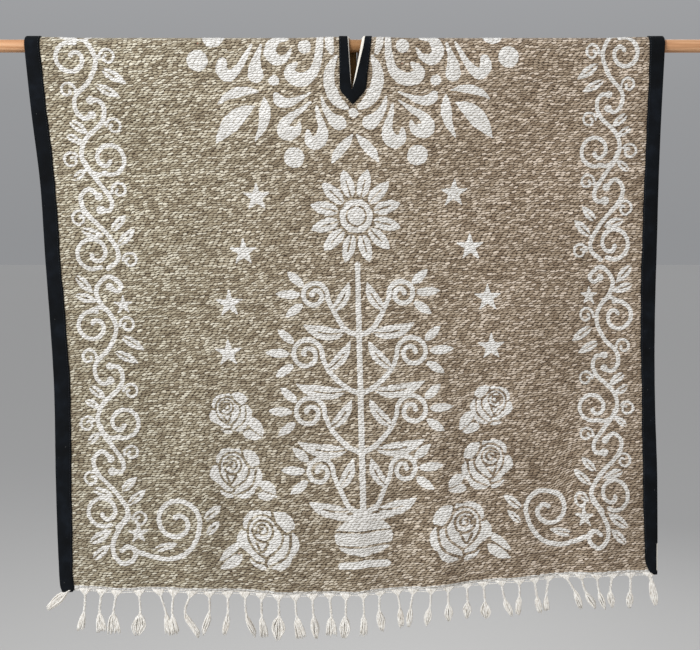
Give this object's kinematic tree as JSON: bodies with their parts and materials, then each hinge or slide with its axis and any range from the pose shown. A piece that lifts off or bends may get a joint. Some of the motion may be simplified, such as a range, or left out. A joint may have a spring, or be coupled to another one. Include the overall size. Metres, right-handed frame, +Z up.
{
  "type": "poncho on a hanging rod",
  "caption": "Open-sided woven cotton poncho hung flat over a wooden rod, with a V neck slit, black tape on its edges and a knotted fringe on both hems.",
  "frame": {"origin": "on the rod's axis, in line with the middle of the neck slit", "axes": "+X along the rod towards the viewer's right, -Y out of the garment's front, +Z up"},
  "size_m": [1.45, 0.0571, 1.1574],
  "materials": {
    "rod_wood": "smooth unpainted pale wood with a fine straight grain",
    "cloth_weave": "thick pebbly two-colour woven cotton, tan ground with cream figure",
    "black_tape": "matt black woven cotton tape, folded and sewn on",
    "fringe_yarn": "twisted cream cotton yarn with loose ends"
  },
  "bodies": {
    "root": {"rod": "rod_wood", "cloth": "cloth_weave", "binding_left": "black_tape", "binding_right": "black_tape", "neck_binding": "black_tape", "fringe_front": "fringe_yarn", "fringe_back": "fringe_yarn"}
  },
  "joints": []
}
